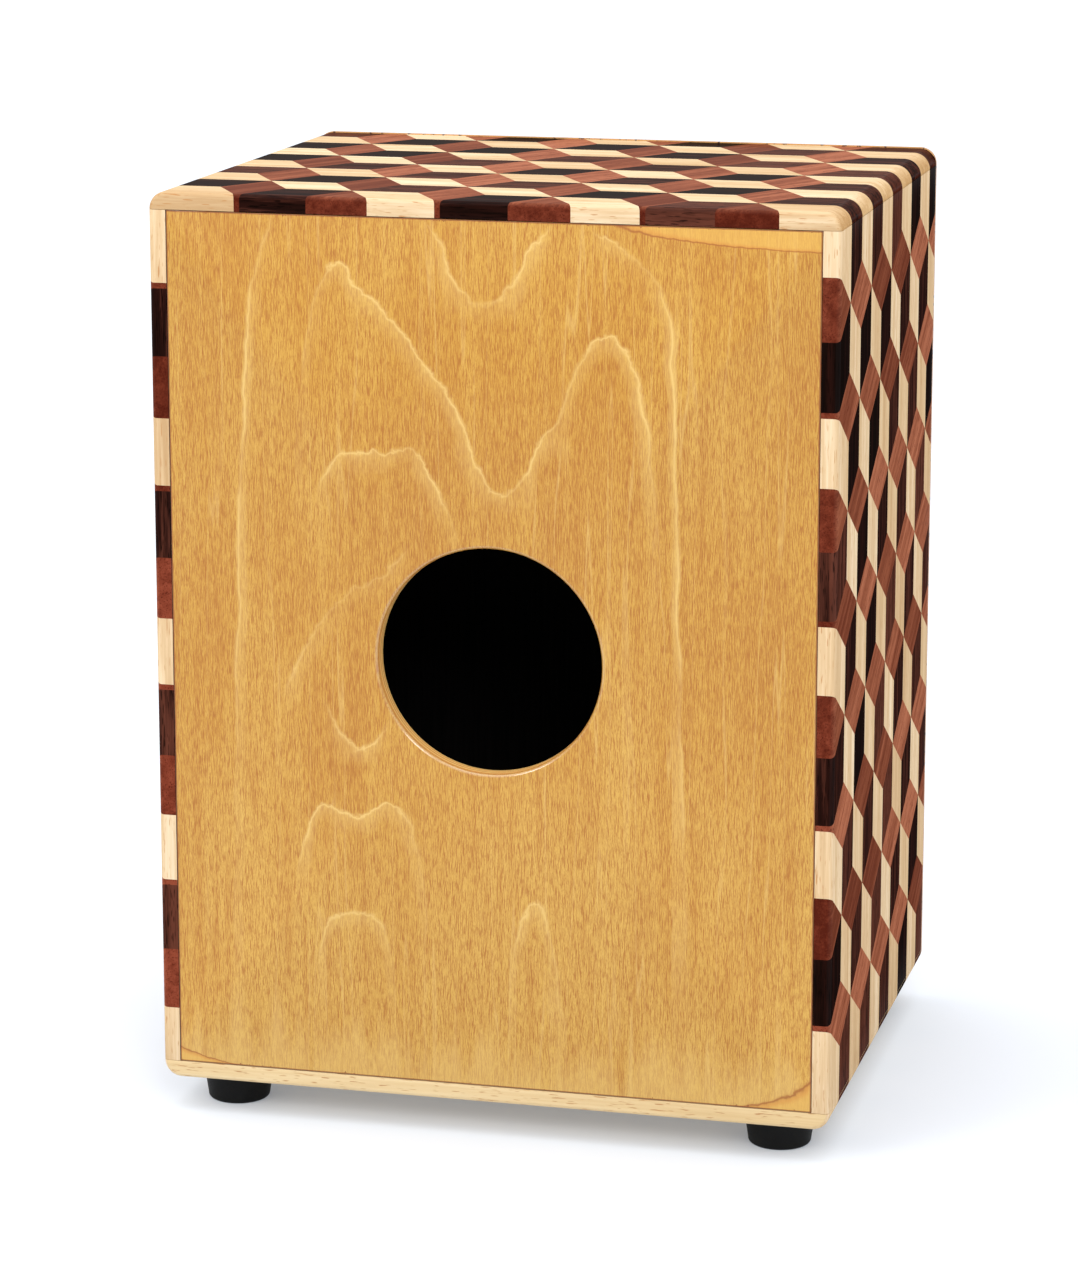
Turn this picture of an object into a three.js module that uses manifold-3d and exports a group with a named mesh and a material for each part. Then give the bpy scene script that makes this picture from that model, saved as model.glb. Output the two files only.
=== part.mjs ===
// A snare cajon: a wooden box drum with a thin plywood playing face (the tapa), a sound hole in the
// rear panel, a swinging snare bar behind the tapa and four rubber feet. Millimetres, +Z up.
// The origin is on the ground under the middle of the drum. The player sits with the tapa at +Y,
// and the sound hole faces -Y.
import * as THREE from "three";
import { mergeVertices } from "three/addons/utils/BufferGeometryUtils.js";
import Module from "manifold-3d";

const wasm = await Module();
wasm.setup();

// ---- Driving dimensions ----

// Shell, glued up from boards.
const SHELL_WIDTH = 353;
const SHELL_DEPTH = 289;
const SHELL_HEIGHT = 465;
const BOARD = 9;
const CORNER_RADIUS = 9;
const CORNER_STEPS = 8;
const ARRIS_RADIUS = 2.5;
const ARRIS_STEPS = 3;

// Rear panel and its sound hole.
const PANEL_THICKNESS = 9;
const PANEL_GAP = 0.25;
const HOLE_RADIUS = 58;
const HOLE_RIM_RADIUS = 2.25;
const HOLE_STEPS = 64;
const HOLE_RIM_STEPS = 4;

// Tapa, the playing face.
const TAPA_THICKNESS = 3.5;

// Battens in the corners behind the tapa and behind the rear panel.
const FRONT_BATTEN = 18;
const REAR_BATTEN = 12;

// Rubber feet.
const FOOT_HEIGHT = 18;
const FOOT_TOP_RADIUS = 18.5;
const FOOT_BOTTOM_RADIUS = 15.9;
const FOOT_EDGE_RADIUS = 2;
const FOOT_EDGE_STEPS = 3;
const FOOT_INSET = 31;
const FOOT_RECESS_RADIUS = 8;
const FOOT_RECESS_DEPTH = 9;
const FOOT_STEPS = 32;
const WASHER_RADIUS = 7;
const WASHER_THICKNESS = 1.2;
const FOOT_SCREW = { headRadius: 4.2, headHeight: 2.4, shankRadius: 2, length: 16 };

// Countersunk tapa screws, in rows along the battens.
const TAPA_SCREW = { headRadius: 3.8, headHeight: 2.6, shankRadius: 1.75, length: 16 };
const TAPA_SCREW_DEPTH = 0.15;
const SCREWS_PER_ROW = 4;
const SCREWS_PER_COLUMN = 3;
const ROW_END_MARGIN = 24;
const COLUMN_END_MARGIN = 114;

// Snare bar: a crossbar that turns between two blocks and carries two half snares.
const BAR_HEIGHT_ABOVE_GROUND = 335;
const BAR_BEHIND_TAPA = 28;
const BAR_SECTION_DEPTH = 16;
const BAR_SECTION_HEIGHT = 20;
const BLOCK_THICKNESS = 20;
const BLOCK_HEIGHT = 40;
const BLOCK_FRONT = 9.5;
const BLOCK_REAR = 14.5;
const PIN_RADIUS = 3;
const PIN_LENGTH = 32;
const PIN_IN_BAR = 18;
const PIN_STEPS = 20;
const SNARE_WASHER_THICKNESS = 1.5;
const SNARE_WASHER_RADIUS = 8;
const SNARE_OFFSET = 95;
const SNARE_SPLAY = THREE.MathUtils.degToRad(8);
const SNARE_TIP_GAP = 0.75;
const PLATE_WIDTH = 42;
const PLATE_HEIGHT = 14;
const PLATE_THICKNESS = 1.2;
const WIRE_COUNT = 10;
const WIRE_PITCH = 4;
const WIRE_DIAMETER = 2;
const WIRE_LENGTH = 105;
const SOLDER_STRIP = 3;
const PLATE_SCREW = { headRadius: 2.6, headHeight: 1.8, shankRadius: 1.25, length: 11 };
const PLATE_SCREW_INSET = 4;
const LEVER_RADIUS = 5;
const LEVER_LENGTH = 42;
const LEVER_TENON_RADIUS = 3.5;
const LEVER_TENON_LENGTH = 8;

const SCREW_STEPS = 12;
const SCREW_HEAD_EDGE = 0.3;
const SCREW_POINT_LENGTH = 3;
const FIT_GAP = 0.3;

// ---- Derived positions ----

const HALF_WIDTH = SHELL_WIDTH / 2;
const INNER_X = HALF_WIDTH - BOARD;
const REAR_Y = -(SHELL_DEPTH + TAPA_THICKNESS) / 2;
const FRONT_Y = REAR_Y + SHELL_DEPTH;
const TAPA_FACE_Y = FRONT_Y + TAPA_THICKNESS;
const PANEL_INNER_Y = REAR_Y + PANEL_THICKNESS;
const BASE_Z = FOOT_HEIGHT;
const TOP_Z = BASE_Z + SHELL_HEIGHT;
const FLOOR_Z = BASE_Z + BOARD;
const CEILING_Z = TOP_Z - BOARD;
const CENTRE_Z = (BASE_Z + TOP_Z) / 2;
const OUTSIDE = 50; // how far a cutting block reaches past the shell
const OVERCUT = 1; // how far a drill or cutter reaches past the face it enters

// ---- Materials ----

function paint(color, roughness, metalness = 0) {
  return new THREE.MeshStandardMaterial({ color, roughness, metalness });
}

const mosaic = paint(0x8f5c3a, 0.35);
const paleWood = paint(0xe6cfa0, 0.4);
const plywood = paint(0xd9a960, 0.4);
const tapaPlywood = paint(0xdcb67c, 0.4);
const battenWood = paint(0xd8bd8c, 0.7);
const barWood = paint(0xb98d5a, 0.6);
const rubber = paint(0x141414, 0.75);
const blackScrew = paint(0x1c1c1e, 0.4, 0.9);
const steel = paint(0xb8bbc0, 0.3, 1);
const brass = paint(0xc9a24b, 0.35, 1);

// ---- Solid helpers ----

// A closed geometry as a manifold solid.
function solidOf(geometry) {
  const bare = geometry.clone();
  bare.deleteAttribute("normal");
  bare.deleteAttribute("uv");
  const merged = mergeVertices(bare, 1e-4);
  const mesh = new wasm.Mesh({
    numProp: 3,
    vertProperties: merged.attributes.position.array,
    triVerts: new Uint32Array(merged.index.array),
  });
  return new wasm.Manifold(mesh);
}

// A manifold solid as a geometry.
function geometryOf(solid) {
  const mesh = solid.getMesh();
  const geometry = new THREE.BufferGeometry();
  geometry.setAttribute("position", new THREE.BufferAttribute(mesh.vertProperties, 3));
  geometry.setIndex(new THREE.BufferAttribute(mesh.triVerts, 1));
  geometry.computeVertexNormals();
  return geometry;
}

function cut(geometry, cutters) {
  let solid = solidOf(geometry);
  for (const cutter of cutters) solid = solid.subtract(solidOf(cutter));
  return geometryOf(solid);
}

// A box between two x, two y and two z limits.
function block([x0, x1], [y0, y1], [z0, z1]) {
  const geometry = new THREE.BoxGeometry(x1 - x0, y1 - y0, z1 - z0);
  return geometry.translate((x0 + x1) / 2, (y0 + y1) / 2, (z0 + z1) / 2);
}

// A turned piece: profile is a list of [radius, height] from the top of the axis to its bottom.
function turned(profile, steps) {
  const points = profile.map(([radius, height]) => new THREE.Vector2(radius, height)).reverse();
  return new THREE.LatheGeometry(points, steps);
}

// The same along +Z instead of +Y.
function turnedUpright(profile, steps) {
  return turned(profile, steps).rotateX(Math.PI / 2);
}

// A disc or rod along Y, from y = 0 back to y = -length.
function rod(radius, length, steps) {
  return turned([[0, 0], [radius, 0], [radius, -length], [0, -length]], steps);
}

// The same along X, centred.
function crossRod(radius, length, steps) {
  return rod(radius, length, steps).translate(0, length / 2, 0).rotateZ(Math.PI / 2);
}

// A countersunk screw, head top at the origin and point towards -Y. With a gap it is the hole that
// the screw fits, open above the head.
function countersunkScrew({ headRadius, headHeight, shankRadius, length }, gap = 0) {
  const top = gap > 0 ? gap + OVERCUT : 0;
  return turned(
    [
      [0, top],
      [headRadius + gap, top],
      [headRadius + gap, -SCREW_HEAD_EDGE],
      [shankRadius + gap, -headHeight - SCREW_HEAD_EDGE],
      [shankRadius + gap, -length + SCREW_POINT_LENGTH],
      [0, -length - 3 * gap],
    ],
    SCREW_STEPS,
  );
}

function panHeadScrew({ headRadius, headHeight, shankRadius, length }) {
  return turned(
    [
      [0, 0],
      [headRadius * 0.6, -headHeight * 0.1],
      [headRadius, -headHeight * 0.5],
      [headRadius, -headHeight],
      [shankRadius, -headHeight],
      [shankRadius, -headHeight - length + SCREW_POINT_LENGTH],
      [0, -headHeight - length],
    ],
    SCREW_STEPS,
  );
}

// The hole that a screw's shank goes into, from just above its head's seat.
function pilotHole({ headHeight, shankRadius, length }) {
  const drill = rod(shankRadius + FIT_GAP, length + 3 * FIT_GAP, SCREW_STEPS);
  return drill.translate(0, -headHeight + FIT_GAP, 0);
}

const drum = new THREE.Group();
drum.name = "cajon";

function add(name, geometry, material, parent = drum) {
  const mesh = new THREE.Mesh(geometry, material);
  mesh.name = name;
  parent.add(mesh);
  return mesh;
}

// ---- Shell ----

// The shell's outer form: a box with large rounded corners along Y and small rounded arrises.
function shellEnvelope() {
  const inset = ARRIS_RADIUS;
  const right = HALF_WIDTH - inset;
  const top = TOP_Z - inset;
  const bottom = BASE_Z + inset;
  const radius = CORNER_RADIUS - inset;
  const outline = new THREE.Shape();
  outline.moveTo(-right + radius, bottom);
  outline.absarc(right - radius, bottom + radius, radius, -Math.PI / 2, 0);
  outline.absarc(right - radius, top - radius, radius, 0, Math.PI / 2);
  outline.absarc(-right + radius, top - radius, radius, Math.PI / 2, Math.PI);
  outline.absarc(-right + radius, bottom + radius, radius, Math.PI, Math.PI * 1.5);
  const depth = SHELL_DEPTH + TAPA_THICKNESS;
  const geometry = new THREE.ExtrudeGeometry(outline, {
    depth: depth - 2 * ARRIS_RADIUS,
    curveSegments: CORNER_STEPS,
    bevelThickness: ARRIS_RADIUS,
    bevelSize: ARRIS_RADIUS,
    bevelSegments: ARRIS_STEPS,
  });
  return solidOf(geometry.rotateX(Math.PI / 2).translate(0, TAPA_FACE_Y - ARRIS_RADIUS, 0));
}

const envelope = shellEnvelope();

// The part of the shell's outer form between the given limits.
function shellPiece(xs, ys, zs, cutters = []) {
  let solid = envelope.intersect(solidOf(block(xs, ys, zs)));
  for (const cutter of cutters) solid = solid.subtract(solidOf(cutter));
  return geometryOf(solid);
}

const shellYs = [REAR_Y - OUTSIDE, FRONT_Y];
const wholeXs = [-HALF_WIDTH - OUTSIDE, HALF_WIDTH + OUTSIDE];
const sideZs = [FLOOR_Z, CEILING_Z];

function feet() {
  const x = HALF_WIDTH - FOOT_INSET;
  const rear = REAR_Y + FOOT_INSET;
  const front = FRONT_Y - FOOT_INSET;
  return [
    { name: "rear_left", x: -x, y: rear },
    { name: "rear_right", x, y: rear },
    { name: "front_left", x: -x, y: front },
    { name: "front_right", x, y: front },
  ];
}

// The underside of a washer in a foot's recess.
const WASHER_SEAT_Z = FOOT_RECESS_DEPTH - WASHER_THICKNESS - FIT_GAP;

// Turns a piece made pointing to -Y so that it points up, with its origin at a foot's axis.
function underFoot(geometry, foot, z) {
  return geometry.rotateX(-Math.PI / 2).translate(foot.x, foot.y, z);
}

function addShellBoards() {
  const headZ = WASHER_SEAT_Z - FOOT_SCREW.headHeight;
  const pilots = feet().map((foot) => underFoot(pilotHole(FOOT_SCREW), foot, headZ));
  add("top_board", shellPiece(wholeXs, shellYs, [CEILING_Z, TOP_Z + OUTSIDE]), mosaic);
  add("bottom_board", shellPiece(wholeXs, shellYs, [BASE_Z - OUTSIDE, FLOOR_Z], pilots), paleWood);
  add("left_side_board", shellPiece([-HALF_WIDTH - OUTSIDE, -INNER_X], shellYs, sideZs), mosaic);
  add("right_side_board", shellPiece([INNER_X, HALF_WIDTH + OUTSIDE], shellYs, sideZs), mosaic);
}

// ---- Rear panel ----

// What the router takes away: a cylinder that flares into a quarter round at the rear face.
function soundHoleCutter() {
  const rim = [];
  for (let i = 0; i <= HOLE_RIM_STEPS; i++) {
    const angle = (i / HOLE_RIM_STEPS) * (Math.PI / 2);
    const radius = HOLE_RADIUS + HOLE_RIM_RADIUS * (1 - Math.sin(angle));
    rim.push([radius, -HOLE_RIM_RADIUS * (1 - Math.cos(angle))]);
  }
  const mouth = HOLE_RADIUS + HOLE_RIM_RADIUS;
  const end = -PANEL_THICKNESS - OVERCUT;
  const profile = [[0, OVERCUT], [mouth, OVERCUT], ...rim, [HOLE_RADIUS, end], [0, end]];
  return turned(profile, HOLE_STEPS).rotateX(Math.PI).translate(0, REAR_Y, CENTRE_Z);
}

function addRearPanel() {
  const x = INNER_X - PANEL_GAP;
  const zs = [FLOOR_Z + PANEL_GAP, CEILING_Z - PANEL_GAP];
  const sheet = block([-x, x], [REAR_Y, PANEL_INNER_Y], zs);
  add("rear_panel", cut(sheet, [soundHoleCutter()]), plywood);
}

// ---- Tapa, battens and tapa screws ----

// Evenly spaced places from -end to +end.
function spread(count, end) {
  const places = [];
  for (let i = 0; i < count; i++) places.push(end * ((2 * i) / (count - 1) - 1));
  return places;
}

function tapaScrews() {
  const half = FRONT_BATTEN / 2;
  const rows = spread(SCREWS_PER_ROW, INNER_X - ROW_END_MARGIN);
  const columns = spread(SCREWS_PER_COLUMN, CEILING_Z - CENTRE_Z - COLUMN_END_MARGIN);
  const screws = [];
  rows.forEach((x, i) => {
    screws.push({ name: `top_${i + 1}`, side: "top", x, z: CEILING_Z - half });
    screws.push({ name: `bottom_${i + 1}`, side: "bottom", x, z: FLOOR_Z + half });
  });
  columns.forEach((offset, i) => {
    screws.push({ name: `left_${i + 1}`, side: "left", x: -INNER_X + half, z: CENTRE_Z + offset });
    screws.push({ name: `right_${i + 1}`, side: "right", x: INNER_X - half, z: CENTRE_Z + offset });
  });
  return screws;
}

const SCREW_HEAD_Y = TAPA_FACE_Y - TAPA_SCREW_DEPTH;

function tapaScrewHole(screw) {
  return countersunkScrew(TAPA_SCREW, FIT_GAP).translate(screw.x, SCREW_HEAD_Y, screw.z);
}

function addTapa() {
  const ys = [FRONT_Y, TAPA_FACE_Y + OUTSIDE];
  const zs = [BASE_Z - OUTSIDE, TOP_Z + OUTSIDE];
  add("tapa", shellPiece(wholeXs, ys, zs, tapaScrews().map(tapaScrewHole)), tapaPlywood);
}

function addTapaScrews() {
  for (const screw of tapaScrews()) {
    const mesh = add(`tapa_screw_${screw.name}`, countersunkScrew(TAPA_SCREW), blackScrew);
    mesh.position.set(screw.x, SCREW_HEAD_Y, screw.z);
  }
}

// Four battens around the inside of the shell: top and bottom run the whole width.
function battenLimits(size, ys) {
  return {
    top: [[-INNER_X, INNER_X], ys, [CEILING_Z - size, CEILING_Z]],
    bottom: [[-INNER_X, INNER_X], ys, [FLOOR_Z, FLOOR_Z + size]],
    left: [[-INNER_X, -INNER_X + size], ys, [FLOOR_Z + size, CEILING_Z - size]],
    right: [[INNER_X - size, INNER_X], ys, [FLOOR_Z + size, CEILING_Z - size]],
  };
}

function addBattens() {
  const front = battenLimits(FRONT_BATTEN, [FRONT_Y - FRONT_BATTEN, FRONT_Y]);
  for (const [side, limits] of Object.entries(front)) {
    const holes = tapaScrews().filter((screw) => screw.side === side);
    add(`front_batten_${side}`, cut(block(...limits), holes.map(tapaScrewHole)), battenWood);
  }
  const rear = battenLimits(REAR_BATTEN, [PANEL_INNER_Y, PANEL_INNER_Y + REAR_BATTEN]);
  for (const [side, limits] of Object.entries(rear)) {
    add(`rear_batten_${side}`, block(...limits), battenWood);
  }
}

// ---- Feet ----

// A tapered rubber foot with a recess in its underside and a screw hole through its top.
function footGeometry() {
  const slope = (FOOT_TOP_RADIUS - FOOT_BOTTOM_RADIUS) / FOOT_HEIGHT;
  const edgeZ = FOOT_EDGE_RADIUS;
  const edgeRadius = FOOT_BOTTOM_RADIUS + slope * edgeZ;
  const holeRadius = FOOT_SCREW.shankRadius + FIT_GAP;
  const edge = [];
  for (let i = 0; i <= FOOT_EDGE_STEPS; i++) {
    const angle = (i / FOOT_EDGE_STEPS) * (Math.PI / 2);
    const radius = edgeRadius - FOOT_EDGE_RADIUS * (1 - Math.cos(angle));
    edge.push([radius, edgeZ - FOOT_EDGE_RADIUS * Math.sin(angle)]);
  }
  const profile = [
    [holeRadius, FOOT_HEIGHT],
    [FOOT_TOP_RADIUS, FOOT_HEIGHT],
    ...edge,
    [FOOT_RECESS_RADIUS, 0],
    [FOOT_RECESS_RADIUS, FOOT_RECESS_DEPTH],
    [holeRadius, FOOT_RECESS_DEPTH],
    [holeRadius, FOOT_HEIGHT],
  ];
  return turnedUpright(profile, FOOT_STEPS);
}

function washerGeometry(radius, holeRadius, thickness) {
  const profile = [
    [holeRadius, thickness],
    [radius, thickness],
    [radius, 0],
    [holeRadius, 0],
    [holeRadius, thickness],
  ];
  return turnedUpright(profile, PIN_STEPS);
}

function addFeet() {
  const washerShape = washerGeometry(WASHER_RADIUS, FOOT_SCREW.shankRadius + FIT_GAP, WASHER_THICKNESS);
  const headZ = WASHER_SEAT_Z - FOOT_SCREW.headHeight - FIT_GAP;
  for (const foot of feet()) {
    const rubberFoot = add(`foot_${foot.name}`, footGeometry(), rubber);
    rubberFoot.position.set(foot.x, foot.y, 0);
    const washer = add(`foot_washer_${foot.name}`, washerShape, steel);
    washer.position.set(foot.x, foot.y, WASHER_SEAT_Z);
    add(`foot_screw_${foot.name}`, underFoot(panHeadScrew(FOOT_SCREW), foot, headZ), steel);
  }
}

// ---- Snare bar ----

const PIVOT_Y = FRONT_Y - BAR_BEHIND_TAPA;
const BAR_END_X = INNER_X - BLOCK_THICKNESS - SNARE_WASHER_THICKNESS - 2 * FIT_GAP;
const PLATE_Y = BAR_SECTION_DEPTH / 2 + FIT_GAP;
const WIRES_Y = PLATE_Y + PLATE_THICKNESS + FIT_GAP;
const WIRE_TIP_Y = WIRES_Y + WIRE_DIAMETER;

// The bar leans at rest so that the tips of the snare wires lie against the tapa.
function snareLean() {
  const reach = BAR_BEHIND_TAPA - SNARE_TIP_GAP;
  const tipRadius = Math.hypot(WIRE_TIP_Y, WIRE_LENGTH);
  return Math.asin(reach / tipRadius) - Math.atan2(WIRE_TIP_Y, WIRE_LENGTH);
}

function addSnareBlocks() {
  const ys = [PIVOT_Y - BLOCK_REAR, PIVOT_Y + BLOCK_FRONT];
  const zs = [BAR_HEIGHT_ABOVE_GROUND - BLOCK_HEIGHT / 2, BAR_HEIGHT_ABOVE_GROUND + BLOCK_HEIGHT / 2];
  const bore = crossRod(PIN_RADIUS + FIT_GAP, 2 * SHELL_WIDTH, PIN_STEPS);
  bore.translate(0, PIVOT_Y, BAR_HEIGHT_ABOVE_GROUND);
  add("snare_block_left", cut(block([-INNER_X, -INNER_X + BLOCK_THICKNESS], ys, zs), [bore]), barWood);
  add("snare_block_right", cut(block([INNER_X - BLOCK_THICKNESS, INNER_X], ys, zs), [bore]), barWood);
}

function snareSides() {
  return [
    { name: "left", sign: -1 },
    { name: "right", sign: 1 },
  ];
}

// A snare plate's own frame: upright on the front face of the bar, splayed outwards.
function snareMount({ sign }) {
  const mount = new THREE.Group();
  mount.position.x = sign * SNARE_OFFSET;
  mount.rotation.y = sign * SNARE_SPLAY;
  return mount;
}

function plateScrewPlaces() {
  const x = PLATE_WIDTH / 2 - PLATE_SCREW_INSET;
  return [-x, x].map((place) => new THREE.Vector3(place, PLATE_Y + PLATE_THICKNESS, -PLATE_HEIGHT / 4));
}

function plateScrewHole(place) {
  const drill = rod(PLATE_SCREW.shankRadius + FIT_GAP, PLATE_SCREW.length + 2 * OVERCUT, SCREW_STEPS);
  return drill.translate(place.x, place.y + OVERCUT, place.z);
}

function barGeometry(mounts) {
  const half = [BAR_END_X, BAR_SECTION_DEPTH / 2, BAR_SECTION_HEIGHT / 2];
  const [xs, ys, zs] = half.map((size) => [-size, size]);
  const leverHoleDepth = LEVER_TENON_LENGTH + FIT_GAP + OVERCUT;
  const leverHole = rod(LEVER_TENON_RADIUS + FIT_GAP, leverHoleDepth, PIN_STEPS);
  leverHole.translate(0, -BAR_SECTION_DEPTH / 2 + LEVER_TENON_LENGTH + FIT_GAP, 0);
  const cutters = [leverHole];
  for (const { sign } of snareSides()) {
    const depth = 2 * (PIN_IN_BAR + FIT_GAP);
    cutters.push(crossRod(PIN_RADIUS + FIT_GAP, depth, PIN_STEPS).translate(sign * BAR_END_X, 0, 0));
  }
  for (const mount of mounts) {
    mount.updateMatrix();
    for (const place of plateScrewPlaces()) {
      cutters.push(plateScrewHole(place).applyMatrix4(mount.matrix));
    }
  }
  return cut(block(xs, ys, zs), cutters);
}

function plateGeometry() {
  const ys = [PLATE_Y, PLATE_Y + PLATE_THICKNESS];
  const plate = block([-PLATE_WIDTH / 2, PLATE_WIDTH / 2], ys, [-PLATE_HEIGHT / 2, PLATE_HEIGHT / 2]);
  return cut(plate, plateScrewPlaces().map(plateScrewHole));
}

// A comb of straight wires that stand up from a strip along the top of the plate.
function wiresGeometry() {
  const base = PLATE_HEIGHT / 2 - SOLDER_STRIP;
  const wireHalf = WIRE_DIAMETER / 2;
  const firstX = -((WIRE_COUNT - 1) / 2) * WIRE_PITCH;
  const outline = new THREE.Shape();
  outline.moveTo(firstX - wireHalf, base);
  outline.lineTo(-firstX + wireHalf, base);
  for (let i = WIRE_COUNT - 1; i >= 0; i--) {
    const x = firstX + i * WIRE_PITCH;
    outline.lineTo(x + wireHalf, WIRE_LENGTH);
    outline.lineTo(x - wireHalf, WIRE_LENGTH);
    if (i > 0) {
      outline.lineTo(x - wireHalf, base + SOLDER_STRIP);
      outline.lineTo(x - WIRE_PITCH + wireHalf, base + SOLDER_STRIP);
    }
  }
  const comb = new THREE.ExtrudeGeometry(outline, { depth: WIRE_DIAMETER, bevelEnabled: false });
  return comb.rotateX(Math.PI / 2).translate(0, WIRE_TIP_Y, 0);
}

function leverGeometry() {
  const seat = -BAR_SECTION_DEPTH / 2 - FIT_GAP;
  return turned(
    [
      [0, seat + LEVER_TENON_LENGTH],
      [LEVER_TENON_RADIUS, seat + LEVER_TENON_LENGTH],
      [LEVER_TENON_RADIUS, seat],
      [LEVER_RADIUS, seat],
      [LEVER_RADIUS * 0.8, seat - LEVER_LENGTH * 0.5],
      [LEVER_RADIUS * 1.3, seat - LEVER_LENGTH * 0.8],
      [LEVER_RADIUS * 1.3, seat - LEVER_LENGTH * 0.92],
      [LEVER_RADIUS * 0.8, seat - LEVER_LENGTH],
      [0, seat - LEVER_LENGTH],
    ],
    PIN_STEPS,
  );
}

function addSnareBar() {
  const bar = new THREE.Group();
  bar.position.set(0, PIVOT_Y, BAR_HEIGHT_ABOVE_GROUND);
  bar.rotation.x = -snareLean();
  drum.add(bar);

  const sides = snareSides().map((side) => ({ ...side, mount: snareMount(side) }));
  add("snare_bar", barGeometry(sides.map((side) => side.mount)), barWood, bar);
  add("snare_lever", leverGeometry(), barWood, bar);

  for (const { name, sign, mount } of sides) {
    const pin = add(`snare_pin_${name}`, crossRod(PIN_RADIUS, PIN_LENGTH, PIN_STEPS), steel, bar);
    pin.position.x = sign * (BAR_END_X - PIN_IN_BAR + PIN_LENGTH / 2);
    const washerShape = washerGeometry(SNARE_WASHER_RADIUS, PIN_RADIUS + FIT_GAP, SNARE_WASHER_THICKNESS);
    washerShape.translate(0, 0, -SNARE_WASHER_THICKNESS / 2).rotateY(Math.PI / 2);
    const washer = add(`snare_washer_${name}`, washerShape, brass, bar);
    washer.position.x = sign * (BAR_END_X + FIT_GAP + SNARE_WASHER_THICKNESS / 2);

    bar.add(mount);
    add(`snare_plate_${name}`, plateGeometry(), brass, mount);
    add(`snare_wires_${name}`, wiresGeometry(), steel, mount);
    plateScrewPlaces().forEach((place, i) => {
      const screw = add(`snare_plate_screw_${name}_${i + 1}`, panHeadScrew(PLATE_SCREW), steel, mount);
      screw.position.copy(place);
      screw.position.y += PLATE_SCREW.headHeight + FIT_GAP;
    });
  }
}

addShellBoards();
addRearPanel();
addTapa();
addBattens();
addTapaScrews();
addFeet();
addSnareBlocks();
addSnareBar();

export default drum;
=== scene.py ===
import math
import random

import bmesh
import bpy
import numpy as np
from mathutils import Matrix, Vector


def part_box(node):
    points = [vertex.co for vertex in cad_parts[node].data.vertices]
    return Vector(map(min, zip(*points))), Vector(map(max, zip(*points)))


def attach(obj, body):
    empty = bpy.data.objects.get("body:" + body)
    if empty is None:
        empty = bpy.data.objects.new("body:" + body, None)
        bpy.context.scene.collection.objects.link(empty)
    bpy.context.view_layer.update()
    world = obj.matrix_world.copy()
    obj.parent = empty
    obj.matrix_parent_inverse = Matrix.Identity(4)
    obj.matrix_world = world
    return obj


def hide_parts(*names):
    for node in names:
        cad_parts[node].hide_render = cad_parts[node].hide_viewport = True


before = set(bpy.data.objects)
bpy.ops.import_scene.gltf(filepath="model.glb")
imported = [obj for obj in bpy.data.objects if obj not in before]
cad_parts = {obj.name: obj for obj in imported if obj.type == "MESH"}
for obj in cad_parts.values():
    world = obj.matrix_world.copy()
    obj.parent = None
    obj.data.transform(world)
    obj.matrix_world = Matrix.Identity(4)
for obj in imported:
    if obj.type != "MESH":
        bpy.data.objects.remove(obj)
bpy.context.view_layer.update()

MM = 0.001

# ---- Places that the frame gives ----

top_low, top_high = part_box("top_board")
bottom_low, bottom_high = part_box("bottom_board")
panel_low, panel_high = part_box("rear_panel")
tapa_low, tapa_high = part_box("tapa")

HALF_WIDTH = top_high.x
REAR_Y = top_low.y
FRONT_Y = top_high.y
TAPA_FACE_Y = tapa_high.y
TOP_Z = top_high.z
CEILING_Z = top_low.z
BASE_Z = bottom_low.z
FLOOR_Z = bottom_high.z
BOARD = TOP_Z - CEILING_Z
INNER_X = HALF_WIDTH - BOARD
CENTRE_Z = (BASE_Z + TOP_Z) / 2

# ---- Driving dimensions ----

CORNER_RADIUS = 9 * MM
CORNER_STEPS = 14
ARRIS_RADIUS = 2.5 * MM
ARRIS_STEPS = 6
SHARP_EDGE_BEVEL = 0.12 * MM
SHARP_ANGLE = math.radians(50)
SMOOTH_ANGLE = math.radians(35)
WOOD_EASE = 0.8 * MM
JOINT_GAP = 0.16 * MM
TURN_STEPS = 64

# Tumbling blocks: rhombi stand in rows on strips that run the length of each board.
STRIP = 30 * MM
FIRST_STRIP = 27.5 * MM
STRIP_COUNT = math.ceil((FRONT_Y - REAR_Y) / STRIP)
STRIP_ORIGIN = Vector((0, REAR_Y + FIRST_STRIP, 0))
ACROSS_STRIPS = Vector((0, 1, 0))
RHOMB_HALF = STRIP / math.sqrt(3)
ROW_PITCH = STRIP * math.sqrt(3)
SIDE_ROWS = 8
SIDE_FIRST_ROW = 47.5 * MM
TOP_ROWS = 6
# The strips run on over the bottom board where its faces look sideways by more than this.
WRAP_LIMIT = 0.4

HOLE_RADIUS = 58 * MM
HOLE_RIM_RADIUS = 2.25 * MM
HOLE_RIM_STEPS = 10
HOLE_STEPS = 160
PANEL_EASE = 0.35 * MM
PLY_COUNT = 7

TAPA_ARRIS_RADIUS = 0.8 * MM
# The tapa is trimmed a hair proud of the top board.
TAPA_LIP = 0.5 * MM

SCREW_TIP = 3 * MM
SHANK_SHARE = 0.46
TAPA_SCREW_HEAD = 2.6 * MM
FOOT_SCREW_HEAD = 2.4 * MM
WASHER_EDGE = 0.2 * MM

FOOT_BOTTOM_RADIUS = 15.9 * MM
FOOT_EDGE_RADIUS = 2.2 * MM
FOOT_EDGE_STEPS = 8
FOOT_EASE = 0.4 * MM
FOOT_RECESS_RADIUS = 8 * MM
FOOT_RECESS_DEPTH = 9 * MM
FOOT_SCREW_HOLE = 2.3 * MM

SNARE_WIRES = 10
SNARE_PIN_HOLE = 3.2 * MM
SOLDER_STRIP = 3 * MM
SOLDER_STRIP_EASE = 0.4 * MM
COIL_PITCH = 1.1 * MM
COIL_SWELL = 0.16
COIL_RINGS_PER_TURN = 4
COIL_SIDES = 10

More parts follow.
